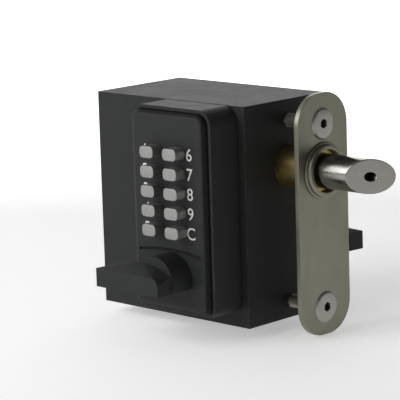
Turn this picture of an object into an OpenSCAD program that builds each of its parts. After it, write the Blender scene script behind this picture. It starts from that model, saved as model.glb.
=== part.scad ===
// Mechanical push-button code lock for a gate.
// +X is the way the latch bolt points, -Y is the outside (keypad) side, +Z is up.
// The origin lies on the latch bolt's axis, on the gate stile's outer face.

/* [Lock case] */
// Length of the case along the gate
case_length = 118.5; // [97:0.5:150]
// Depth of the case from its outside face to its inside face
case_depth = 70; // [66:1:90]
// Height of the case
case_height = 128.4; // [124:0.2:160]
// Distance from the latch axis up to the top of the case
case_top = 39.1; // [38:0.1:50]
// Distance from the latch axis out to the keypad face of the case
case_front = 37; // [34:1:45]
// Thickness of the case's walls
case_wall = 3; // [2:0.5:4]
// Width of the gate stile between case and faceplate
stile_gap = 23; // [18:1:40]

/* [Faceplate] */
// Width of the faceplate
plate_width = 42.5; // [38:0.5:50]
// How far the faceplate reaches above the latch axis
plate_above = 44.6; // [40:0.2:60]
// How far the faceplate reaches below the latch axis
plate_below = 95.7; // [90:0.1:118]
// Thickness of the faceplate
plate_thick = 3.2; // [2:0.2:5]
// Radius of the faceplate's corners
plate_corner = 18.5; // [5:0.5:19]
// Height of the upper fixing bolt above the latch axis
upper_bolt = 27; // [26.5:0.5:28]
// Distance of the lower fixing bolt below the latch axis
lower_bolt = 79.5; // [78:0.5:81]
// Diameter of the fixing bolts
bolt_d = 8; // [6:1:8]
// Head diameter of the fixing bolts
bolt_head_d = 18.6; // [14:0.2:19]
// Outer diameter of the raised collar round the latch
collar_d = 30.5; // [29:0.5:31]
// How far the collar stands proud of the faceplate
collar_proud = 3.5; // [1:0.5:6]

/* [Latch] */
// Diameter of the latch bolt
latch_d = 20; // [16:0.5:20]
// How far the bolt's tip stands out of the stile's face
latch_throw = 48; // [40:1:60]
// Distance that the latch bolt draws back
latch_travel = 25.2; // [20:0.2:26]
// Wall of the brass guide bush
bush_wall = 2.25; // [1.5:0.25:2.5]

/* [Keypad] */
// Width of the keypad housing
pad_width = 62.1; // [58:0.1:66]
// Height of the keypad housing
pad_height = 119; // [115:0.5:124]
// Distance that the housing and cover stand out from the case
pad_depth = 26; // [24:0.5:34]
// Gap between the housing's edge and the case's edge at the stile
pad_inset = 5.2; // [1:0.1:8]
// Width of one button
button_w = 10.5; // [9:0.25:11]
// Height of one button
button_h = 6.8; // [5:0.2:8]
// Distance between rows of buttons
button_pitch = 11.3; // [10.5:0.05:12]
// Distance between the two columns of buttons
column_gap = 18; // [16:0.5:20]
// How far a button stands out of the cover
button_proud = 8; // [5:0.5:9]
// Distance that a button can be pressed
button_travel = 3; // [2:0.25:3.5]
// Distance from the latch axis down to the bottom row of buttons
low_row = 31.2; // [29:0.2:32]

/* [Handles] */
// Depth of a handle's axis below the latch axis
handle_drop = 58.5; // [56:0.5:59]
// Distance of the handles' axis from the keypad's middle, towards the latch
handle_offset = 2; // [0:0.25:3]
// Length from the handle's axis to its tip
handle_reach = 36; // [28:0.5:40]
// Height of the handle's grip
grip_h = 10.8; // [8:0.2:13]
// Distance from the face behind to the front of the grip
grip_out = 26.5; // [22:0.5:32]
// Depth of the grip from its front to the front of the boss
grip_deep = 11.2; // [8:0.2:13]
// Radius of the handle's round boss
boss_r = 14.5; // [13:0.5:16]
// How far the inside handle's grip sits above its axis
inside_lift = 4.5; // [0:0.5:5]
// Diameter of the neck that turns in the bush
neck_d = 18; // [16:0.5:18]
// Angle that a handle turns through
handle_turn = 70; // [40:5:70]

/* [Hidden] */
$fn = 64;
running = 0.05;
sliding = 0.1;
loose = 0.3;

case_right = -stile_gap;
case_left = case_right - case_length;
case_bottom = case_top - case_height;
case_back = case_depth - case_front;
inner_right = case_right - case_wall;
inner_left = case_left + case_wall;
inner_top = case_top - case_wall;
inner_bottom = case_bottom + case_wall;
inner_front = case_wall - case_front;
inner_back = case_back - case_wall;
corner_lug = 8;
lug_depth = 14;
lid_gap = 0.2;
lid_screw_d = 4;
lid_screw_length = 9;
lid_screw_sink = 1.5;
lid_key = 2.9;
boss_length = 10;
bolt_boss = 8;

bolt_sink = 0.4;
bolt_crown = 0.9;
bolt_key = 5.8;
bolt_key_deep = 2.2;
thread_depth = 0.6;
collar_step = 1.25;
collar_step_thick = 1.2;
collar_fit = 1.5;

gasket_thick = 1;
gasket_ring = 5;
pad_right = case_right - pad_inset;
pad_left = pad_right - pad_width;
pad_middle = (pad_left + pad_right) / 2;
pad_top = case_top - 0.1;
pad_bottom = pad_top - pad_height;
pad_back = -case_front - gasket_thick;
pad_face = -case_front - pad_depth;
housing_wall = 2;
cover_fit = 0.15;
ledge_setback = 3.6;
pad_corner_top = 9;
pad_corner_bottom = 5.5;
pad_floor = 2;
cover_inset = housing_wall + cover_fit;
cover_wall = 2.5;
cover_edge = 3.6;
cover_hollow_top = 4;
cover_hollow_bottom = 0.5;
cover_seat = pad_back - pad_floor;

bottom_row = -low_row;
top_row = bottom_row + 4 * button_pitch;
columns = [pad_middle - column_gap / 2, pad_middle + column_gap / 2];
button_corner = 2.4;
button_fit = 0.15;
button_dome = 45;
flange_rim = 1;
flange_thick = 1.5;
flange_front = pad_face + cover_wall + loose;
flange_back = flange_front + flange_thick;
stem_d = 4;
guide_gap = 6.7;
button_spring_r = 3.2;
button_wire = 0.8;
button_turns = 3.5;
guide_thick = 3;
guide_front = flange_back + guide_gap;
guide_back = guide_front + guide_thick;
guide_side = 22;
guide_above = 8.5;
pillar_d = 6;
stem_end = pad_back - pad_floor;
code_pin_d = 5;
code_pin_hole = code_pin_d + 1.5;
code_pin_end = inner_front + 13;
chamber_back = inner_front + 17;
chamber_side = 17;
chamber_above = 7;
pad_screw_d = 4;
pad_head = 3;
pad_key = 3.4;
pad_boss_r = 4;
pad_screw_inset = cover_inset + cover_wall + pad_boss_r + 1.5;

handle_x = pad_middle + handle_offset;
handle_z = -handle_drop;
crease_r = 144;
crease_deep = 0.8;
crease_side = 24.5;
crease_top = handle_z + boss_r + 1.1;
neck_r = neck_d / 2;
leaf_rise = 5.4;
socket_deep = 12;
bush_r = neck_r + 3;
spindle_w = 8;
inside_plate_thick = 3.5;
inside_face = case_back + inside_plate_thick;
inside_plate_side = 22;
inside_plate_above = 40;
inside_plate_below = 26;
outside_neck_end = inner_front + 4;
inside_neck_end = inner_back - 18;
spring_wire = 1.5;
spring_turns = 5;
circlip_thick = 1.4;

bush_hole_r = latch_d / 2 + running;
bush_out_r = bush_hole_r + bush_wall;
collar_hole_r = bush_out_r + 0.2;
bush_front = plate_thick + collar_proud - 4;
bush_back = inner_right - 11.5;
latch_tail = inner_right - 24;
nose_hole_d = 5;
nose_hole_deep = 12;
spring_pocket = 2;
carriage_front = bush_back - 0.5;
carriage_back = carriage_front - 10;
carriage_half = 2.5;
cam_half = handle_turn / 2;
cam_reach = latch_travel / (2 * sin(cam_half));
cam_pin_r = 3;
cam_slot_play = 0.6;
cam_front = carriage_half + 1;
cam_back = cam_front + 6;
cam_nose_r = 8;
cam_pin_x = handle_x + cam_reach * sin(cam_half);
cam_pin_z = handle_z - cam_reach * cos(cam_half);
window_r = cam_nose_r + 1.5;
dog_thick = 6;
latch_spring_r = 6.2;
spring_rod_r = 4.5;
latch_wire = 1.6;
latch_turns = 13;
spring_play = 0.1;
spring_rod_end = latch_tail - latch_travel - 5;
spring_seat = 3;

// Shared shapes

module rod_x(r, from, to) {
    translate([from, 0, 0]) rotate([0, 90, 0]) cylinder(r = r, h = to - from);
}

module rod_y(r, from, to) {
    translate([0, from, 0]) rotate([-90, 0, 0]) cylinder(r = r, h = to - from);
}

// A hexagon socket for a key, cut along Y.
module key_y(across, from, to) {
    translate([0, from, 0]) rotate([-90, 0, 0]) cylinder(d = across, h = to - from, $fn = 6);
}

module box(low, high) {
    translate(low) cube(high - low);
}

// Draws an outline given in X and Z, and fills it from one Y to another.
module slab_y(from, to) {
    translate([0, to, 0]) rotate([90, 0, 0]) linear_extrude(height = to - from) children();
}

module rounded_outline(left, right, bottom, top, r_bottom, r_top) {
    translate([left, bottom + r_bottom]) square([right - left, top - bottom - r_top - r_bottom]);
    translate([left + r_top, top - r_top]) square([right - left - 2 * r_top, r_top]);
    translate([left + r_bottom, bottom]) square([right - left - 2 * r_bottom, r_bottom]);
    for (x = [left + r_top, right - r_top]) translate([x, top - r_top]) circle(r = r_top);
    for (x = [left + r_bottom, right - r_bottom]) translate([x, bottom + r_bottom]) circle(r = r_bottom);
}

// A round wire wound on an axis along +Z, standing on z = 0.
module coil(radius, wire, turns, length, steps, sides) {
    count = turns * steps;
    rise = (length - wire) / count;
    points = [for (i = [0:count]) let (a = 360 * i / steps)
        for (j = [0:sides - 1]) let (t = 360 * j / sides, r = radius + wire / 2 * cos(t))
            [r * cos(a), r * sin(a), wire / 2 + rise * i + wire / 2 * sin(t)]];
    skin = [for (i = [0:count - 1]) for (j = [0:sides - 1]) let (k = (j + 1) % sides)
        [i * sides + j, i * sides + k, (i + 1) * sides + k, (i + 1) * sides + j]];
    ends = [[for (j = [sides - 1:-1:0]) j], [for (j = [0:sides - 1]) count * sides + j]];
    polyhedron(points = points, faces = concat(skin, ends), convexity = 10);
}

// Button number n of 0 to 9 sits in the left column for 0 to 4 and in the right one for 5 to 9.
module at_button(n) {
    translate([columns[floor(n / 5)], 0, top_row - button_pitch * (n % 5)]) children();
}

// Case

module lock_case() {
    color("dimgray") difference() {
        union() {
            difference() {
                box([case_left, -case_front, case_bottom], [case_right, case_back, case_top]);
                box([inner_left, inner_front, inner_bottom], [inner_right, case_back + 1, inner_top]);
            }
            for (x = [inner_left, inner_right - corner_lug], z = [inner_bottom, inner_top - corner_lug])
                translate([x, inner_back - lug_depth, z]) cube([corner_lug, lug_depth, corner_lug]);
            for (z = [upper_bolt, -lower_bolt])
                translate([0, 0, z]) rod_x(bolt_boss_r(z), inner_right - boss_length, inner_right);
        }
        at_lid_screws() rod_y(lid_screw_d / 2, inner_back - lid_screw_length - 1, inner_back + 1);
        for (z = [upper_bolt, -lower_bolt])
            translate([0, 0, z]) rod_x(bolt_d / 2 + sliding, inner_right - boss_length - 1, case_right + 1);
        rod_x(bush_out_r, inner_right - 1, case_right + 1);
        for (n = [0:9]) at_button(n) rod_y(code_pin_hole / 2, -case_front - 1, inner_front + 1);
        at_pad_screws() rod_y(pad_screw_d / 2 + sliding, -case_front - 1, inner_front + 1);
        translate([handle_x, 0, handle_z]) rod_y(bush_r, -case_front - 1, inner_front + 1);
    }
}

function bolt_boss_r(z) = min(bolt_boss, min(inner_top - z, z - inner_bottom) - loose);

module at_lid_screws() {
    for (x = [inner_left + corner_lug / 2, inner_right - corner_lug / 2],
            z = [inner_bottom + corner_lug / 2, inner_top - corner_lug / 2])
        translate([x, 0, z]) children();
}

module case_rear_cover() {
    color("dimgray") difference() {
        box([inner_left + lid_gap, inner_back, inner_bottom + lid_gap],
            [inner_right - lid_gap, case_back, inner_top - lid_gap]);
        at_lid_screws() {
            rod_y(lid_screw_d / 2 + sliding, inner_back - 1, case_back + 1);
            rod_y(lid_screw_d + sliding, case_back - lid_screw_sink, case_back + 1);
        }
        translate([handle_x, 0, handle_z]) rod_y(bush_r, inner_back - 1, case_back + 1);
    }
}

module rear_cover_screws() {
    color("silver") at_lid_screws() difference() {
        union() {
            rod_y(lid_screw_d / 2, inner_back - lid_screw_length, case_back - lid_screw_sink);
            rod_y(lid_screw_d, case_back - lid_screw_sink, case_back - 0.1);
        }
        key_y(lid_key, case_back - 1.2, case_back + 1);
    }
}

// Faceplate and fixings

module faceplate() {
    color("tan") difference() {
        rotate([90, 0, 90]) linear_extrude(height = plate_thick)
            rounded_outline(-plate_width / 2, plate_width / 2, -plate_below, plate_above,
                plate_corner, plate_corner);
        rod_x(collar_d / 2 - collar_fit, -1, plate_thick + 1);
        for (z = [upper_bolt, -lower_bolt]) translate([0, 0, z]) {
            rod_x(bolt_d / 2 + loose, -1, plate_thick + 1);
            translate([bolt_sink, 0, 0]) rotate([0, 90, 0])
                cylinder(r1 = bolt_d / 2, r2 = bolt_head_d / 2 + 0.2, h = plate_thick - bolt_sink + 0.01);
        }
    }
}

module fixing_bolts() {
    color("silver") for (z = [upper_bolt, -lower_bolt]) translate([0, 0, z]) difference() {
        union() {
            rod_x(bolt_d / 2, inner_right - boss_length, case_right + 0.5);
            rod_x(bolt_d / 2 - thread_depth, case_right, 0);
            rod_x(bolt_d / 2, -0.5, plate_thick - 1);
            translate([bolt_sink + 0.1, 0, 0]) rotate([0, 90, 0])
                cylinder(r1 = bolt_d / 2, r2 = bolt_head_d / 2, h = plate_thick - bolt_sink - 0.1);
            translate([plate_thick, 0, 0]) rotate([0, 90, 0])
                cylinder(r1 = bolt_head_d / 2, r2 = bolt_head_d / 2 - 1.6, h = bolt_crown);
        }
        translate([plate_thick - bolt_key_deep, 0, 0]) rotate([0, 90, 0])
            cylinder(d = bolt_key, h = bolt_key_deep + bolt_crown + 1, $fn = 6);
    }
}

// The section of a ring, in radius and height, with its outer upper edge rounded.
module ring_section(inner, outer, base, top, round_r) {
    translate([inner, base]) square([outer - inner, top - base - round_r]);
    translate([inner, base]) square([outer - inner - round_r, top - base]);
    translate([outer - round_r, top - round_r]) circle(r = round_r);
}

module latch_collar() {
    out_r = collar_d / 2;
    foot = plate_thick + collar_step_thick;
    color("tan") rotate([0, 90, 0]) rotate_extrude() {
        translate([collar_hole_r, 0]) square([out_r - collar_fit - collar_hole_r, plate_thick + 0.1]);
        ring_section(collar_hole_r, out_r + collar_step, plate_thick, foot, collar_step_thick / 2);
        ring_section(collar_hole_r, out_r, foot - 0.1, plate_thick + collar_proud,
            min(1.2, collar_proud / 3));
    }
}

// Latch

module latch_bush() {
    color("goldenrod") difference() {
        union() {
            rod_x(bush_out_r, bush_back, bush_front);
            rod_x(bush_out_r + 3, inner_right - 3, inner_right);
        }
        rod_x(bush_hole_r, bush_back - 1, bush_front + 1);
    }
}

module latch_bolt() {
    bolt_r = latch_d / 2;
    color("lightgray") difference() {
        rod_x(bolt_r, latch_tail, latch_throw);
        translate([latch_throw - bolt_r, 0, 0]) rotate([0, 0, -45])
            translate([0, -latch_throw, -latch_d]) cube([latch_throw, 2 * latch_throw, 2 * latch_d]);
        rod_x(nose_hole_d / 2, latch_throw - bolt_r - nose_hole_deep, latch_throw + 1);
        rod_x(latch_spring_r + 1.2, latch_tail - 1, latch_tail + spring_pocket);
    }
}

module latch_carriage() {
    drive_left = handle_x - window_r - 7;
    drive_right = cam_pin_x + cam_pin_r + cam_slot_play + 4;
    drive_bottom = inner_bottom + 1.3;
    color("slategray") difference() {
        union() {
            rod_x(latch_d / 2 + 3.5, carriage_back, carriage_front);
            box([drive_left, -carriage_half, handle_z + window_r],
                [carriage_front, carriage_half, -latch_d / 2 - 1]);
            box([drive_left, -carriage_half, drive_bottom],
                [handle_x - window_r, carriage_half, handle_z + window_r]);
            box([drive_left, -carriage_half, drive_bottom],
                [drive_right, carriage_half, handle_z - window_r]);
        }
        rod_x(latch_d / 2, carriage_back - 1, carriage_front + 1);
        box([cam_pin_x - cam_pin_r - cam_slot_play, -carriage_half - 1, drive_bottom - 1],
            [cam_pin_x + cam_pin_r + cam_slot_play, carriage_half + 1,
                cam_pin_z + cam_pin_r + cam_slot_play]);
    }
}

module latch_spring() {
    length = latch_tail + spring_pocket - (inner_left + spring_seat) - 2 * spring_play;
    color("silver") translate([inner_left + spring_seat + spring_play, 0, 0]) rotate([0, 90, 0])
        coil(latch_spring_r, latch_wire, latch_turns, length, 16, 8);
}

module spring_guide() {
    color("gray") {
        rod_x(spring_rod_r, inner_left, spring_rod_end);
        rod_x(latch_spring_r + 3, inner_left, inner_left + spring_seat);
    }
}

// Keypad

module pad_outline(inset) {
    rounded_outline(pad_left + inset, pad_right - inset, pad_bottom + inset, pad_top - inset,
        pad_corner_bottom - inset, pad_corner_top - inset);
}

module at_pad_screws() {
    for (x = [pad_left + pad_screw_inset, pad_right - pad_screw_inset],
            z = [pad_bottom + pad_screw_inset, pad_top - pad_screw_inset])
        translate([x, 0, z]) children();
}

module at_pillars() {
    for (x = [pad_middle - guide_side + pillar_d / 2, pad_middle + guide_side - pillar_d / 2],
            z = [top_row + guide_above - pillar_d / 2, bottom_row - guide_above + pillar_d / 2])
        translate([x, 0, z]) children();
}

module keypad_housing() {
    color("dimgray") difference() {
        union() {
            difference() {
                slab_y(pad_face + ledge_setback, pad_back) pad_outline(0);
                slab_y(pad_face - 1, cover_seat) pad_outline(housing_wall);
            }
            at_pillars() rod_y(pillar_d / 2, guide_back, cover_seat);
            at_pad_screws() rod_y(pad_boss_r, cover_seat - 6, cover_seat);
        }
        at_pad_screws() rod_y(pad_screw_d / 2, cover_seat - 5, pad_back + 1);
        for (n = [0:9]) at_button(n) rod_y(code_pin_hole / 2, cover_seat - 1, pad_back + 1);
        translate([handle_x, 0, handle_z]) rod_y(bush_r, cover_seat - 1, pad_back + 1);
    }
}

module housing_gasket() {
    color("black") difference() {
        slab_y(pad_back, -case_front) pad_outline(0.6);
        slab_y(pad_back - 1, 1 - case_front) pad_outline(gasket_ring);
    }
}

module housing_screws() {
    color("silver") at_pad_screws() difference() {
        union() {
            rod_y(pad_screw_d / 2, cover_seat - 4, inner_front);
            rod_y(pad_screw_d - 0.5, inner_front, inner_front + pad_head);
        }
        key_y(pad_key, inner_front + 1.5, inner_front + pad_head + 1);
    }
}

// A quarter-rounded disc that makes one corner of the cover, its round edge towards -Y.
module cover_corner(corner, edge) {
    rotate([90, 0, 0]) rotate_extrude($fn = 32) {
        square([corner, cover_seat - pad_face - edge]);
        translate([0, cover_seat - pad_face - edge]) intersection() {
            union() {
                square([corner - edge + 0.01, edge]);
                translate([corner - edge, 0]) circle(r = edge, $fn = 32);
            }
            square([corner, edge]);
        }
    }
}

module keypad_cover() {
    corner_top = pad_corner_top - cover_inset;
    corner_bottom = pad_corner_bottom - cover_inset;
    left = pad_left + cover_inset;
    right = pad_right - cover_inset;
    top = pad_top - cover_inset;
    bottom = pad_bottom + cover_inset;
    color("dimgray") difference() {
        hull() {
            for (x = [left + corner_top, right - corner_top])
                translate([x, cover_seat, top - corner_top]) cover_corner(corner_top, cover_edge);
            for (x = [left + corner_bottom, right - corner_bottom])
                translate([x, cover_seat, bottom + corner_bottom])
                    cover_corner(corner_bottom, corner_bottom);
        }
        slab_y(pad_face + cover_wall, cover_seat + 1)
            rounded_outline(left + cover_wall, right - cover_wall, bottom + cover_wall,
                top - cover_wall, cover_hollow_bottom, cover_hollow_top);
        for (n = [0:9]) at_button(n) slab_y(pad_face - 1, pad_face + cover_wall + 1)
            button_outline(button_fit);
        translate([handle_x, 0, handle_z]) rod_y(neck_r + loose, pad_face - 1, pad_face + cover_wall + 1);
        intersection() {
            translate([pad_middle, pad_face, crease_top - crease_r]) rotate([90, 0, 0])
                rotate_extrude($fn = 180) translate([crease_r, 0]) circle(r = crease_deep, $fn = 16);
            box([pad_middle - crease_side, pad_face - 1, crease_top - 6],
                [pad_middle + crease_side, pad_face + 1, crease_top + 1]);
        }
    }
}

module button_outline(gap) {
    w = button_w / 2 + gap;
    h = button_h / 2 + gap;
    rounded_outline(-w, w, -h, h, button_corner + gap, button_corner + gap);
}

module button_guide_plate() {
    color("silver") difference() {
        slab_y(guide_front, guide_back) rounded_outline(pad_middle - guide_side, pad_middle + guide_side,
            bottom_row - guide_above, top_row + guide_above, 3, 3);
        for (n = [0:9]) at_button(n) rod_y(stem_d / 2 + sliding, guide_front - 1, guide_back + 1);
    }
}

module button(n) {
    front = pad_face - button_proud;
    color("silver") at_button(n) {
        intersection() {
            slab_y(front, flange_front) button_outline(0);
            translate([0, front + button_dome, 0]) sphere(r = button_dome, $fn = 96);
        }
        slab_y(flange_front, flange_back) button_outline(flange_rim);
        rod_y(stem_d / 2, flange_back, stem_end);
    }
}

module button_spring(n) {
    color("silver") at_button(n) translate([0, flange_back + spring_play / 2, 0]) rotate([-90, 0, 0])
        coil(button_spring_r, button_wire, button_turns, guide_gap - spring_play, 12, 6);
}

module code_pin(n) {
    color("goldenrod") at_button(n) difference() {
        rod_y(code_pin_d / 2, stem_end, code_pin_end);
        box([-code_pin_d, code_pin_end - 7, 1], [code_pin_d, code_pin_end - 4, code_pin_d]);
    }
}

module code_chamber() {
    color("goldenrod") difference() {
        box([pad_middle - chamber_side, inner_front, bottom_row - chamber_above],
            [pad_middle + chamber_side, chamber_back, top_row + chamber_above]);
        for (n = [0:9]) at_button(n) rod_y(code_pin_d / 2 + sliding, inner_front - 1, chamber_back + 1);
    }
}

// Handles. Each is drawn on its own axis with the face behind it at y = 0 and its tip towards -X.

// The grip spreads from a straight front face to a leaf-shaped back, raised by lift above the axis.
module handle(neck, lift) {
    half = grip_h / 2;
    boss_out = grip_out - grip_deep;
    right_end = sqrt(boss_r * boss_r - half * half);
    skin = 0.2;
    color("dimgray") difference() {
        union() {
            intersection() {
                rod_y(boss_r, -boss_out, -loose);
                box([-boss_r, -boss_out, -half], [boss_r, 0, boss_r]);
            }
            translate([0, 0, lift]) hull() {
                slab_y(-grip_out, skin - grip_out) grip_front_outline(right_end, half);
                slab_y(-boss_out - skin, -boss_out) grip_back_outline(right_end, half);
            }
            rod_y(neck_r, -loose, neck);
        }
        box([-spindle_w / 2, neck - socket_deep, -spindle_w / 2],
            [spindle_w / 2, neck + 1, spindle_w / 2]);
    }
}

module grip_front_outline(right_end, half) {
    corner = half - 0.4;
    translate([-handle_reach, -half]) square([handle_reach + right_end - corner, grip_h]);
    translate([-handle_reach, -half]) square([handle_reach + right_end, grip_h - corner]);
    translate([right_end - corner, half - corner]) circle(r = corner, $fn = 48);
}

module grip_back_outline(right_end, half) {
    chord = handle_reach - 1 + right_end;
    leaf_r = (chord * chord / 4 + leaf_rise * leaf_rise) / (2 * leaf_rise);
    intersection() {
        translate([1 - handle_reach, -half]) square([chord, grip_h + 2 * leaf_rise]);
        translate([1 - handle_reach + chord / 2, half - 1 + leaf_rise - leaf_r])
            circle(r = leaf_r, $fn = 160);
    }
}

module outside_handle() {
    translate([handle_x, pad_face, handle_z]) handle(outside_neck_end - pad_face, 0);
}

module inside_handle() {
    translate([handle_x, inside_face, handle_z]) rotate([0, 0, 180])
        handle(inside_face - inside_neck_end, inside_lift);
}

module handle_bush(from, to) {
    color("goldenrod") translate([handle_x, 0, handle_z]) difference() {
        rod_y(bush_r, from, to);
        rod_y(neck_r + running, from - 1, to + 1);
    }
}

module outside_handle_bush() {
    handle_bush(cover_seat - 1.5, inner_front + 1);
}

module inside_handle_bush() {
    handle_bush(inner_back - 2, case_back);
}

module circlip(y) {
    color("gray") translate([handle_x, 0, handle_z]) difference() {
        rod_y(neck_r + 1.8, y, y + circlip_thick);
        rod_y(neck_r, y - 1, y + circlip_thick + 1);
        box([-2, y - 1, 0], [2, y + circlip_thick + 1, neck_d]);
    }
}

module outside_circlip() {
    circlip(inner_front + 1.2);
}

module inside_circlip() {
    circlip(inner_back - 2.2 - circlip_thick);
}

module handle_spring(from, length) {
    color("silver") translate([handle_x, from, handle_z]) rotate([-90, 0, 0])
        coil(neck_r + 1 + spring_wire / 2, spring_wire, spring_turns, length, 20, 8);
}

module outside_handle_spring() {
    handle_spring(pad_face + cover_wall + 1, 15);
}

module inside_handle_spring() {
    handle_spring(inside_neck_end + 1, 12);
}

module spindle(from, to) {
    half = spindle_w / 2;
    color("lightgray") translate([handle_x, 0, handle_z]) box([-half, from, -half], [half, to, half]);
}

module outside_spindle() {
    spindle(outside_neck_end - socket_deep, -cam_front);
}

module clutch_dog() {
    half = spindle_w / 2;
    color("gray") translate([handle_x, 0, handle_z]) difference() {
        rod_y(window_r - 1.5, -cam_front - dog_thick, -cam_front);
        box([-half, -cam_front - dog_thick - 1, -half], [half, 0, half]);
        box([-window_r, -cam_front - 1.5, -1.5], [window_r, 0, 1.5]);
    }
}

module inside_spindle() {
    spindle(-1, inside_neck_end + socket_deep);
}

module latch_cam() {
    half = spindle_w / 2;
    color("gray") translate([handle_x, 0, handle_z]) difference() {
        rotate([0, -cam_half, 0]) {
            rod_y(cam_nose_r, -2, cam_front);
            rod_y(cam_nose_r + 2, cam_front, cam_back);
            box([-4.5, cam_front, -cam_reach], [4.5, cam_back, 0]);
            translate([0, 0, -cam_reach]) {
                rod_y(cam_pin_r + 2, cam_front, cam_back);
                rod_y(cam_pin_r, -carriage_half - 0.5, cam_front);
            }
        }
        box([-half, -3, -half], [half, cam_back + 1, half]);
    }
}

module inside_plate() {
    color("dimgray") difference() {
        slab_y(case_back, inside_face) rounded_outline(
            handle_x - inside_plate_side, handle_x + inside_plate_side,
            handle_z - inside_plate_below, handle_z + inside_plate_above, 6, 6);
        translate([handle_x, 0, handle_z]) rod_y(neck_r + loose, case_back - 1, inside_face + 1);
    }
}

lock_case();
case_rear_cover();
rear_cover_screws();
faceplate();
latch_collar();
fixing_bolts();
latch_bush();
latch_bolt();
latch_carriage();
latch_spring();
spring_guide();
keypad_housing();
housing_gasket();
housing_screws();
keypad_cover();
button_guide_plate();
code_chamber();
button(0);  // button_1
button(1);  // button_2
button(2);  // button_3
button(3);  // button_4
button(4);  // button_5
button(5);  // button_6
button(6);  // button_7
button(7);  // button_8
button(8);  // button_9
button(9);  // button_c
button_spring(0);  // button_spring_1
button_spring(1);  // button_spring_2
button_spring(2);  // button_spring_3
button_spring(3);  // button_spring_4
button_spring(4);  // button_spring_5
button_spring(5);  // button_spring_6
button_spring(6);  // button_spring_7
button_spring(7);  // button_spring_8
button_spring(8);  // button_spring_9
button_spring(9);  // button_spring_c
code_pin(0);  // code_pin_1
code_pin(1);  // code_pin_2
code_pin(2);  // code_pin_3
code_pin(3);  // code_pin_4
code_pin(4);  // code_pin_5
code_pin(5);  // code_pin_6
code_pin(6);  // code_pin_7
code_pin(7);  // code_pin_8
code_pin(8);  // code_pin_9
code_pin(9);  // code_pin_c
outside_handle();
outside_spindle();
outside_handle_bush();
outside_handle_spring();
outside_circlip();
clutch_dog();
inside_plate();
inside_handle();
inside_spindle();
inside_handle_bush();
inside_handle_spring();
inside_circlip();
latch_cam();
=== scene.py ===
import math
import bmesh
import bpy
from mathutils import Matrix, Vector


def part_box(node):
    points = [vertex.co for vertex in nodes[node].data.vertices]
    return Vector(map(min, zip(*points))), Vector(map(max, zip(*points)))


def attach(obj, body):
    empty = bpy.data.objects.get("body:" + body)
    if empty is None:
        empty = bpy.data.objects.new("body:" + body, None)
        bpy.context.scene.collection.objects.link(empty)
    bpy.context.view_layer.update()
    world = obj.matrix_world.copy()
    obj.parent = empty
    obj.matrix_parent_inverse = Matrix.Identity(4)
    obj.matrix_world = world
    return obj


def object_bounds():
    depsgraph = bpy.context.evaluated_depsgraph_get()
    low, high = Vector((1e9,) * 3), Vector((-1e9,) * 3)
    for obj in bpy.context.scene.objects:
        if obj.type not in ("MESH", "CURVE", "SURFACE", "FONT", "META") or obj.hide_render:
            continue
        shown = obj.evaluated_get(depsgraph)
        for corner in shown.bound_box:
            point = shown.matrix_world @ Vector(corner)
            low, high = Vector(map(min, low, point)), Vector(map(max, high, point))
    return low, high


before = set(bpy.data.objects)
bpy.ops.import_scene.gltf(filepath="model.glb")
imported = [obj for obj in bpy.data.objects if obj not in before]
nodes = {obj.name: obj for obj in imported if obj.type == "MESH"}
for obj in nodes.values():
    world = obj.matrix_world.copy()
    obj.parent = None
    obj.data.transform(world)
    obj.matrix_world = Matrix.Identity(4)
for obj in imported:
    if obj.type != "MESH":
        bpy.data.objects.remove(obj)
cad_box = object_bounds()


# Case. A welded box of 3 mm steel sheet that fills the space between the gate's rails. A lid is let into its
# inside face on four countersunk socket screws. Both are powder coated together in a fine charcoal texture.

MM = 0.001
charcoal = (0.018, 0.0195, 0.0195)
pale_charcoal = (0.025, 0.0265, 0.026)
rubbed_charcoal = (0.045, 0.046, 0.045)
coat_shine = 0.2


def new_group(name, inputs, outputs):
    """An empty shader group with float or vector inputs and outputs."""
    group = bpy.data.node_groups.new(name, "ShaderNodeTree")
    for socket, kind, value in inputs:
        made = group.interface.new_socket(socket, in_out="INPUT", socket_type=kind)
        made.default_value = value
    for socket, kind in outputs:
        group.interface.new_socket(socket, in_out="OUTPUT", socket_type=kind)
    return group, group.nodes.new("NodeGroupInput"), group.nodes.new("NodeGroupOutput")


def put(tree, kind, settings=None, **sockets):
    """Adds a node, sets its properties, and fills its sockets with values or links."""
    node = tree.nodes.new(kind)
    for key, value in (settings or {}).items():
        setattr(node, key, value)
    for key, value in sockets.items():
        socket = node.inputs[int(key[1:])] if key[0] == "i" and key[1:].isdigit() else node.inputs[key]
        if isinstance(value, bpy.types.NodeSocket):
            tree.links.new(value, socket)
        else:
            socket.default_value = value
    return node


def maths(tree, operation, a, b=0.0, clamp=False):
    return put(tree, "ShaderNodeMath", {"operation": operation, "use_clamp": clamp}, i0=a, i1=b).outputs[0]


def spread(tree, value, low, high, to_low, to_high):
    """Maps a value from one span to another and keeps it inside."""
    node = put(tree, "ShaderNodeMapRange", {"clamp": True}, Value=value)
    for socket, number in zip(("From Min", "From Max", "To Min", "To Max"), (low, high, to_low, to_high)):
        node.inputs[socket].default_value = number
    return node.outputs[0]


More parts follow.
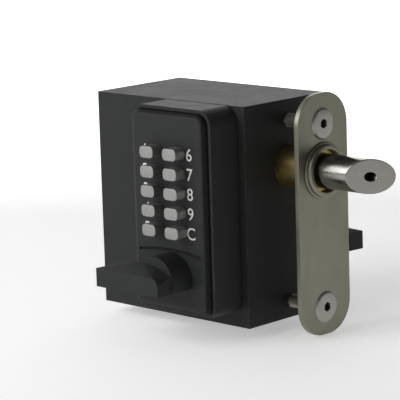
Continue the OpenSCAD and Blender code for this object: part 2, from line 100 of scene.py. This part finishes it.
def make_coat_texture():
    """Powder coat: fine orange-peel grain with faint clouds of tone and dust."""
    group, start, end = new_group(
        "coat_texture",
        [("Grain", "NodeSocketFloat", 1800.0), ("Clouds", "NodeSocketFloat", 90.0)],
        [("Height", "NodeSocketFloat"), ("Tone", "NodeSocketFloat"), ("Roughness", "NodeSocketFloat")],
    )
    place = put(group, "ShaderNodeTexCoord").outputs["Object"]
    grain = put(group, "ShaderNodeTexNoise", Vector=place, Scale=start.outputs["Grain"],
                Detail=3.0, Roughness=0.6)
    clouds = put(group, "ShaderNodeTexNoise", Vector=place, Scale=start.outputs["Clouds"],
                 Detail=5.0, Roughness=0.65)
    specks = maths(group, "MULTIPLY", grain.outputs["Fac"], 0.35)
    tone = maths(group, "ADD", maths(group, "MULTIPLY", clouds.outputs["Fac"], 0.65), specks)
    group.links.new(grain.outputs["Fac"], end.inputs["Height"])
    group.links.new(spread(group, tone, 0.35, 0.65, 0.0, 1.0), end.inputs["Tone"])
    group.links.new(spread(group, clouds.outputs["Fac"], 0.3, 0.7, 0.50, 0.60), end.inputs["Roughness"])
    return group


def make_box_edges():
    """A mask of the edges and corners of a box, broken up as a coat chips and rubs."""
    group, start, end = new_group(
        "box_edges",
        [("Low", "NodeSocketVector", (0, 0, 0)), ("High", "NodeSocketVector", (1, 1, 1)),
         ("Width", "NodeSocketFloat", 0.001)],
        [("Wear", "NodeSocketFloat")],
    )
    place = put(group, "ShaderNodeTexCoord").outputs["Object"]
    low, high = start.outputs["Low"], start.outputs["High"]
    from_low = put(group, "ShaderNodeVectorMath", {"operation": "SUBTRACT"}, i0=place, i1=low)
    from_high = put(group, "ShaderNodeVectorMath", {"operation": "SUBTRACT"}, i0=high, i1=place)
    nearest = put(group, "ShaderNodeVectorMath", {"operation": "MINIMUM"},
                  i0=from_low.outputs[0], i1=from_high.outputs[0])
    axis = put(group, "ShaderNodeSeparateXYZ", Vector=nearest.outputs[0]).outputs
    small = maths(group, "MINIMUM", axis[0], axis[1])
    large = maths(group, "MAXIMUM", axis[0], axis[1])
    second = maths(group, "MAXIMUM", small, maths(group, "MINIMUM", large, axis[2]))
    close = maths(group, "SUBTRACT", 1.0, maths(group, "DIVIDE", second, start.outputs["Width"]), clamp=True)
    breaks = put(group, "ShaderNodeTexNoise", Vector=place, Scale=260.0, Detail=6.0, Roughness=0.7)
    worn = maths(group, "MULTIPLY", close, spread(group, breaks.outputs["Fac"], 0.45, 0.65, 0.0, 1.0))
    group.links.new(worn, end.inputs["Wear"])
    return group


coat_texture = make_coat_texture()
box_edges = make_box_edges()


def blank(name):
    material = bpy.data.materials.new(name)
    material.use_nodes = True
    tree = material.node_tree
    return material, tree, tree.nodes["Principled BSDF"]


def tint(tree, mask, dark, light):
    """A colour between two, chosen by a mask."""
    mix = tree.nodes.new("ShaderNodeMix")
    mix.data_type = "RGBA"
    mix.inputs["A"].default_value = (*dark, 1)
    mix.inputs["B"].default_value = (*light, 1)
    tree.links.new(mask, mix.inputs["Factor"])
    return mix.outputs["Result"]


def layer(tree, mask, under, over):
    """A colour laid over another where a mask says."""
    mix = tree.nodes.new("ShaderNodeMix")
    mix.data_type = "RGBA"
    tree.links.new(mask, mix.inputs["Factor"])
    tree.links.new(under, mix.inputs["A"])
    mix.inputs["B"].default_value = (*over, 1)
    return mix.outputs["Result"]


def bump(tree, bsdf, height, distance):
    node = put(tree, "ShaderNodeBump", Height=height, Distance=distance, Strength=1.0)
    tree.links.new(node.outputs[0], bsdf.inputs["Normal"])


def use_group(tree, group, **values):
    node = put(tree, "ShaderNodeGroup", {"node_tree": group})
    for key, value in values.items():
        node.inputs[key].default_value = value
    return node.outputs


def powder_coat(name, dark, light, grain, depth, wear_box, wear_width):
    """A coat with grain and clouds, rubbed paler along the edges of wear_box."""
    material, tree, bsdf = blank(name)
    coat = use_group(tree, coat_texture, Grain=grain)
    edges = use_group(tree, box_edges, Low=wear_box[0], High=wear_box[1], Width=wear_width)
    colour = layer(tree, edges["Wear"], tint(tree, coat["Tone"], dark, light), rubbed_charcoal)
    tree.links.new(colour, bsdf.inputs["Base Color"])
    tree.links.new(coat["Roughness"], bsdf.inputs["Roughness"])
    bsdf.inputs["Specular IOR Level"].default_value = coat_shine
    bump(tree, bsdf, coat["Height"], depth)
    return material


def dress(name, material):
    """Gives a frame node its finish."""
    for holder in nodes[name].material_slots:
        holder.material = material


def ease(name, width, angle=32, segments=3, flat_sided=True):
    """Breaks a frame node's sharp edges by width mm, as the coat, the die or the deburring leaves them."""
    piece = nodes[name]
    weld = piece.modifiers.new("join", "WELD")
    weld.merge_threshold = 0.002 * MM
    if flat_sided:
        flats = piece.modifiers.new("flats", "DECIMATE")
        flats.decimate_type = "DISSOLVE"
        flats.angle_limit = math.radians(0.3)
    edge = piece.modifiers.new("edge", "BEVEL")
    edge.width = width * MM
    edge.segments = segments
    edge.limit_method = "ANGLE"
    edge.angle_limit = math.radians(angle)
    normals = piece.modifiers.new("normals", "WEIGHTED_NORMAL")
    normals.weight = 80


case_coat = powder_coat("case_coat", charcoal, pale_charcoal, 1500, 0.06 * MM,
                        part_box("lock_case"), 1.1 * MM)
dress("lock_case", case_coat)
ease("lock_case", 0.9)
dress("case_rear_cover", case_coat)
ease("case_rear_cover", 0.5)


# Faceplate. A 3.2 mm stainless plate with round ends that draws the stile against the case. It is brushed
# along its length, and a turned, stepped collar is pressed into it round the latch.

def make_brushing():
    """Fine scratches along one axis, with longer streaks of tone and smears from handling."""
    group, start, end = new_group(
        "brushing",
        [("Stretch", "NodeSocketVector", (1, 1, 1)), ("Fineness", "NodeSocketFloat", 6000.0)],
        [("Height", "NodeSocketFloat"), ("Tone", "NodeSocketFloat"), ("Roughness", "NodeSocketFloat")],
    )
    place = put(group, "ShaderNodeTexCoord").outputs["Object"]
    stretch, fineness = start.outputs["Stretch"], start.outputs["Fineness"]
    drawn = put(group, "ShaderNodeVectorMath", {"operation": "MULTIPLY"}, i0=place, i1=stretch)
    fine = put(group, "ShaderNodeTexNoise", Vector=drawn.outputs[0], Scale=fineness, Detail=4.0)
    streak = put(group, "ShaderNodeTexNoise", Vector=drawn.outputs[0], Scale=700.0, Detail=3.0)
    smear = put(group, "ShaderNodeTexNoise", Vector=place, Scale=70.0, Detail=4.0, Roughness=0.6)
    tone = maths(group, "ADD", maths(group, "MULTIPLY", streak.outputs["Fac"], 0.5),
                 maths(group, "MULTIPLY", smear.outputs["Fac"], 0.5))
    group.links.new(fine.outputs["Fac"], end.inputs["Height"])
    group.links.new(spread(group, tone, 0.3, 0.7, 0.0, 1.0), end.inputs["Tone"])
    group.links.new(spread(group, smear.outputs["Fac"], 0.3, 0.7, 0.30, 0.46), end.inputs["Roughness"])
    return group


brushing = make_brushing()


def metal(name, dark, light, stretch, fineness, depth, shine):
    """Bare metal with its brushing or turning marks. shine shifts the roughness."""
    material, tree, bsdf = blank(name)
    marks = use_group(tree, brushing, Stretch=stretch, Fineness=fineness)
    tree.links.new(tint(tree, marks["Tone"], dark, light), bsdf.inputs["Base Color"])
    tree.links.new(maths(tree, "ADD", marks["Roughness"], shine), bsdf.inputs["Roughness"])
    bsdf.inputs["Metallic"].default_value = 1.0
    bump(tree, bsdf, marks["Height"], depth)
    return material


along_z = (1, 1, 0.02)
plate_steel = metal("plate_steel", (0.235, 0.229, 0.178), (0.262, 0.256, 0.202),
                    along_z, 5000, 0.01 * MM, 0.02)
for name in ("faceplate", "latch_collar"):
    dress(name, plate_steel)
ease("faceplate", 0.35)
ease("latch_collar", 0.12, flat_sided=False)


# Fixing bolts. Two stainless M8 bolts with countersunk socket heads, turned from bar, run through the stile
# into threaded bosses in the case. Their key sockets are painted black as shade.

around = (0.02, 1, 1)
bolt_dark, bolt_light = (0.34, 0.32, 0.30), (0.42, 0.40, 0.375)
# Colour of the painted shade in the bolts' key sockets.
socket_shade = (0.012, 0.011, 0.010)
bolt_low, bolt_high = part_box("fixing_bolts")
socket_mouth, socket_floor = bolt_high[0] - 1.4 * MM, bolt_high[0] - 4.5 * MM
shade_fade = 0.2 * MM
bolt_steel = metal("bolt_steel", bolt_dark, bolt_light, around, 4000, 0.01 * MM, -0.02)


def make_socketed_steel():
    """The bolts' steel with painted shade blackening its key sockets, a little below the heads' faces."""
    material = metal("socketed_bolt_steel", bolt_dark, bolt_light, around, 4000, 0.01 * MM, 0.0)
    tree = material.node_tree
    bsdf = tree.nodes["Principled BSDF"]
    place = put(tree, "ShaderNodeTexCoord").outputs["Object"]
    along = put(tree, "ShaderNodeSeparateXYZ", Vector=place).outputs["X"]
    # Painted shade: black, not metal and a little rougher, between the socket's mouth and floor along X.
    below = spread(tree, along, socket_mouth - shade_fade, socket_mouth, 1.0, 0.0)
    above = spread(tree, along, socket_floor, socket_floor + shade_fade, 0.0, 1.0)
    painted_shade = maths(tree, "MULTIPLY", below, above)
    clean = bsdf.inputs["Base Color"].links[0].from_socket
    smooth = bsdf.inputs["Roughness"].links[0].from_socket
    rough = maths(tree, "ADD", smooth, maths(tree, "MULTIPLY", painted_shade, 0.3))
    tree.links.new(layer(tree, painted_shade, clean, socket_shade), bsdf.inputs["Base Color"])
    tree.links.new(maths(tree, "SUBTRACT", 1.0, painted_shade), bsdf.inputs["Metallic"])
    tree.links.new(rough, bsdf.inputs["Roughness"])
    return material


dress("fixing_bolts", make_socketed_steel())
for name in ("rear_cover_screws", "housing_screws"):
    dress(name, bolt_steel)
for name in ("fixing_bolts", "rear_cover_screws"):
    ease(name, 0.15, angle=40, flat_sided=False)

plate_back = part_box("faceplate")[0][0]
case_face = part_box("lock_case")[1][0]
head_radius = 9.3 * MM
thread_pitch = 1.25 * MM
thread_root, thread_crest = 3.38 * MM, 3.95 * MM
foot_share, crest_share = 0.42, 0.08
thread_start = case_face + 0.2 * MM
thread_length = plate_back - 0.7 * MM - thread_start


def cut_thread(name, z):
    """The M8 thread that shows on a bolt where it crosses the stile: one ridge wound as a helix."""
    steps = 28
    turns = thread_length / thread_pitch - 1
    section = [(-foot_share, thread_root), (-crest_share, thread_crest),
               (crest_share, thread_crest), (foot_share, thread_root)]
    mesh = bmesh.new()
    rings = []
    for step in range(int(turns * steps) + 1):
        angle = 2 * math.pi * step / steps
        x = thread_start + thread_pitch * (0.5 + step / steps)
        ring = []
        for share, radius in section:
            corner = (x + share * thread_pitch, radius * math.cos(angle), z + radius * math.sin(angle))
            ring.append(mesh.verts.new(corner))
        rings.append(ring)
    for one, two in zip(rings, rings[1:]):
        for corner in range(4):
            after = (corner + 1) % 4
            mesh.faces.new((one[corner], one[after], two[after], two[corner]))
    mesh.faces.new(rings[0][::-1])
    mesh.faces.new(rings[-1])
    bmesh.ops.recalc_face_normals(mesh, faces=mesh.faces)
    data = bpy.data.meshes.new(name)
    mesh.to_mesh(data)
    mesh.free()
    data.materials.append(bolt_steel)
    ridge = bpy.data.objects.new(name, data)
    bpy.context.collection.objects.link(ridge)
    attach(ridge, "lock")


cut_thread("upper_bolt_thread", bolt_high[2] - head_radius)
cut_thread("lower_bolt_thread", bolt_low[2] + head_radius)


# Latch. A 20 mm turned stainless bolt with a bevelled nose slides in a long brass bush. A drive plate clamped
# to its tail carries the slot for the cam, and a coil spring on a guide rod pushes it out.

latch_steel = metal("latch_steel", (0.27, 0.262, 0.24), (0.32, 0.312, 0.288), around, 3000, 0.004 * MM, -0.18)
brass = metal("machined_brass", (0.50, 0.36, 0.13), (0.66, 0.50, 0.20), around, 3000, 0.01 * MM, -0.02)
zinc = metal("zinc_plate", (0.42, 0.42, 0.40), (0.56, 0.56, 0.52), (1, 1, 1), 900, 0.02 * MM, 0.02)
wire = metal("spring_wire", (0.36, 0.36, 0.37), (0.48, 0.48, 0.48), (1, 1, 1), 1500, 0.01 * MM, -0.06)
dress("latch_bolt", latch_steel)
ease("latch_bolt", 0.5)
dress("latch_bush", brass)
ease("latch_bush", 0.3)
for name in ("latch_carriage", "spring_guide"):
    dress(name, zinc)
    ease(name, 0.3)
dress("latch_spring", wire)


# Keypad housing. A die-cast zinc tray that leaves a narrow ledge round the cover. It is screwed to the case
# from inside, on a rubber gasket, and finished in a slightly finer charcoal than the case.

keypad_charcoal = (0.024, 0.0255, 0.025)
keypad_coat = powder_coat("keypad_coat", charcoal, keypad_charcoal, 2200, 0.04 * MM,
                          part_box("keypad_housing"), 0.8 * MM)
dress("keypad_housing", keypad_coat)
ease("keypad_housing", 0.4)

rubber, rubber_tree, rubber_bsdf = blank("gasket_rubber")
rubber_skin = use_group(rubber_tree, coat_texture, Grain=3000)
rubber_tree.links.new(tint(rubber_tree, rubber_skin["Tone"], (0.012, 0.012, 0.012), (0.03, 0.03, 0.03)),
                      rubber_bsdf.inputs["Base Color"])
rubber_bsdf.inputs["Roughness"].default_value = 0.8
bump(rubber_tree, rubber_bsdf, rubber_skin["Height"], 0.03 * MM)
dress("housing_gasket", rubber)


# Keypad cover. The die-cast front stands on the housing's ledge. A shallow arc is cast in above the handle,
# and the arc and the cover's edge are painted dark as shade. Its numerals are pad-printed beside the buttons.

cover_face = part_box("keypad_cover")[0][1]
# Colour of the painted shade in the arc and down the cover's edge.
cover_shade = (0.004, 0.004, 0.004)
shade_start, shade_full = cover_face + 0.15 * MM, cover_face + 0.6 * MM


def make_cover_coat():
    """The housing's coat with painted shade wherever the surface lies behind the cover's face."""
    material = powder_coat("cover_coat", charcoal, keypad_charcoal, 2200, 0.04 * MM,
                           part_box("keypad_cover"), 0.6 * MM)
    tree = material.node_tree
    base = tree.nodes["Principled BSDF"].inputs["Base Color"]
    clean = base.links[0].from_socket
    place = put(tree, "ShaderNodeTexCoord").outputs["Object"]
    inward = put(tree, "ShaderNodeSeparateXYZ", Vector=place).outputs["Y"]
    # Painted shade: darker where the surface lies deeper than the cover's face, in the arc and down its edge.
    painted_shade = spread(tree, inward, shade_start, shade_full, 0.0, 1.0)
    tree.links.new(layer(tree, painted_shade, clean, cover_shade), base)
    return material


dress("keypad_cover", make_cover_coat())
ease("keypad_cover", 0.35)

legend_height = 6.9 * MM
legend_gap = 8.4 * MM
legend_drop = 0.8 * MM
capital_share = 0.69
film_half_thick = 0.02 * MM
film_stand_off = 0.03 * MM
stroke_swell = 0.04 * MM
facing_out = Matrix.Rotation(math.pi / 2, 4, "X")
print_ink, ink_tree, ink_bsdf = blank("legend_ink")
ink_wear = use_group(ink_tree, coat_texture, Grain=900, Clouds=400)
ink_tree.links.new(tint(ink_tree, ink_wear["Tone"], (0.50, 0.50, 0.48), (0.78, 0.78, 0.76)),
                   ink_bsdf.inputs["Base Color"])
ink_bsdf.inputs["Roughness"].default_value = 0.5


def print_legend(letter, x, z):
    """One numeral, a film of ink on the cover's face."""
    curve = bpy.data.curves.new("legend_" + letter.lower(), "FONT")
    curve.body = letter
    curve.align_x = "CENTER"
    curve.align_y = "CENTER"
    curve.size = legend_height / capital_share
    curve.extrude = film_half_thick
    curve.offset = stroke_swell
    text = bpy.data.objects.new("legend_" + letter.lower(), curve)
    bpy.context.collection.objects.link(text)
    text.matrix_world = Matrix.Translation((x, cover_face - film_stand_off, z)) @ facing_out
    shape = bpy.data.meshes.new_from_object(text.evaluated_get(bpy.context.evaluated_depsgraph_get()))
    shape.transform(text.matrix_world)
    bpy.data.objects.remove(text)
    film = bpy.data.objects.new("legend_" + letter.lower(), shape)
    bpy.context.collection.objects.link(film)
    shape.materials.clear()
    shape.materials.append(print_ink)
    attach(film, "lock")


# Buttons. Ten satin metal buttons with eased edges stand well out of the cover. Each has a collar behind the
# cover, a stem through the guide plate, a return spring, and a brass pin in the code chamber.

button_metal = metal("button_metal", (0.26, 0.262, 0.252), (0.34, 0.342, 0.332),
                     (1, 1, 1), 2600, 0.02 * MM, 0.10)
button_metal.node_tree.nodes["Principled BSDF"].inputs["Metallic"].default_value = 0.85
button_names = ["1", "2", "3", "4", "5", "6", "7", "8", "9", "c"]
rows_in_column = 5
for index, name in enumerate(button_names):
    button = "button_" + name
    dress(button, button_metal)
    ease(button, 0.55)
    dress("button_spring_" + name, wire)
    dress("code_pin_" + name, brass)
    low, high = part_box(button)
    side = -1 if index < rows_in_column else 1
    button_x, button_z = (low[0] + high[0]) / 2, (low[2] + high[2]) / 2
    print_legend(name.upper(), button_x + side * legend_gap, button_z - legend_drop)
for name in ("button_guide_plate", "outside_spindle", "inside_spindle", "clutch_dog", "latch_cam"):
    dress(name, zinc)
    ease(name, 0.2)
dress("code_chamber", brass)


# Handles. Two die-cast handles in charcoal turn in brass bushes, one on each face. Each keeps a torsion
# spring and a circlip on its neck.

handle_charcoal = (0.019, 0.0205, 0.0205)
for name, finish in (("outside_handle", "handle_coat"), ("inside_handle", "inside_handle_coat")):
    dress(name, powder_coat(finish, handle_charcoal, pale_charcoal, 2600, 0.03 * MM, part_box(name), 0.7 * MM))
    ease(name, 0.9, angle=28, segments=4)
for name in ("outside_handle_bush", "inside_handle_bush"):
    dress(name, brass)
for name in ("outside_handle_spring", "inside_handle_spring", "outside_circlip", "inside_circlip"):
    dress(name, wire)


# Inside plate. A plain plate with round corners between the rear cover and the inside handle, which turns
# through it. It is cut from steel and coated with the keypad housing.

dress("inside_plate", keypad_coat)
ease("inside_plate", 0.5)


# Floor. A plain pale sweep of paper that lies just under the lock and rises behind it. It glows a little, so
# that it stays pale under a light that is dim enough for the dark coat.

floor_low = cad_box[0][2] - 0.5 * MM
paper_glow = 0.4
floor_mesh = bpy.data.meshes.new("sweep")
sweep = bmesh.new()
reach, rise, bend, half_width = 3.0, 2.5, 0.6, 4.0
bend_steps = 12
profile = [(-reach, 0.0), (reach - bend, 0.0)]
for step in range(1, bend_steps + 1):
    turn = math.radians(90 * step / bend_steps)
    profile.append((reach - bend + bend * math.sin(turn), bend - bend * math.cos(turn)))
profile.append((reach, rise))
view_turn = math.radians(44)
forward = Vector((-math.sin(view_turn), math.cos(view_turn), 0))
across = Vector((math.cos(view_turn), math.sin(view_turn), 0))
rows = []
for run, up in profile:
    centre = forward * run + Vector((0, 0, floor_low + up))
    rows.append([sweep.verts.new(centre + across * side * half_width) for side in (-1, 1)])
for one, two in zip(rows, rows[1:]):
    sweep.faces.new((one[0], one[1], two[1], two[0]))
sweep.to_mesh(floor_mesh)
sweep.free()
for polygon in floor_mesh.polygons:
    polygon.use_smooth = True
floor = bpy.data.objects.new("sweep", floor_mesh)
bpy.context.collection.objects.link(floor)
paper, _, paper_bsdf = blank("pale_paper")
paper_bsdf.inputs["Base Color"].default_value = (0.86, 0.86, 0.86, 1)
paper_bsdf.inputs["Roughness"].default_value = 0.9
paper_bsdf.inputs["Emission Color"].default_value = (1, 1, 1, 1)
paper_bsdf.inputs["Emission Strength"].default_value = paper_glow
floor_mesh.materials.append(paper)


# Light. A large soft box in front, a narrow one at the left for the latch's bright stripe, two weak ones
# above, one on the paper behind, and dim surroundings.

def soft_box(name, place, aim, size, power):
    data = bpy.data.lights.new(name, "AREA")
    data.shape = "RECTANGLE"
    data.size, data.size_y = size
    data.energy = power
    lamp = bpy.data.objects.new(name, data)
    bpy.context.collection.objects.link(lamp)
    lamp.location = place
    lamp.rotation_euler = (Vector(aim) - Vector(place)).to_track_quat("-Z", "Y").to_euler()


middle = (-0.05, 0, -0.03)
soft_box("front_light", (-0.5, -1.2, 0.65), middle, (1.1, 0.9), 12)
soft_box("strip_light", (-0.95, -0.92, 0.34), middle, (0.35, 0.75), 1.4)
soft_box("fill_light", (-1.1, -0.35, 1.15), middle, (1.4, 1.4), 2.4)
soft_box("top_light", (0.1, -0.2, 1.5), middle, (1.2, 1.2), 0.6)
soft_box("back_light", (-0.6, 0.7, 1.3), (-1.9, 2.0, 0.6), (1.6, 0.8), 60)
world_strength = 0.1
world = bpy.data.worlds.new("surroundings")
bpy.context.scene.world = world
world.use_nodes = True
world.node_tree.nodes["Background"].inputs["Color"].default_value = (1.0, 0.99, 0.97, 1)
world.node_tree.nodes["Background"].inputs["Strength"].default_value = world_strength
bpy.context.scene.view_settings.view_transform = "Standard"


# Camera. A long lens looks from the front and the latch's side, a little above the lock and leaning slightly.
# It points between the keypad and the faceplate.

camera_data = bpy.data.cameras.new("camera")
camera_data.sensor_width = 36
camera_data.lens = 198
camera = bpy.data.objects.new("camera", camera_data)
bpy.context.collection.objects.link(camera)
turn, lift, lean = (math.radians(angle) for angle in (44.1, 10.9, -1.8))
distance = 1.322
upright = Matrix.Rotation(turn, 4, "Z") @ Matrix.Rotation(math.pi / 2 - lift, 4, "X")
facing = upright @ Matrix.Rotation(lean, 4, "Z")
aim = Vector((-0.0952, 0, -0.028))
camera.matrix_world = Matrix.Translation(aim + facing.to_3x3() @ Vector((0, 0, distance))) @ facing
bpy.context.scene.camera = camera
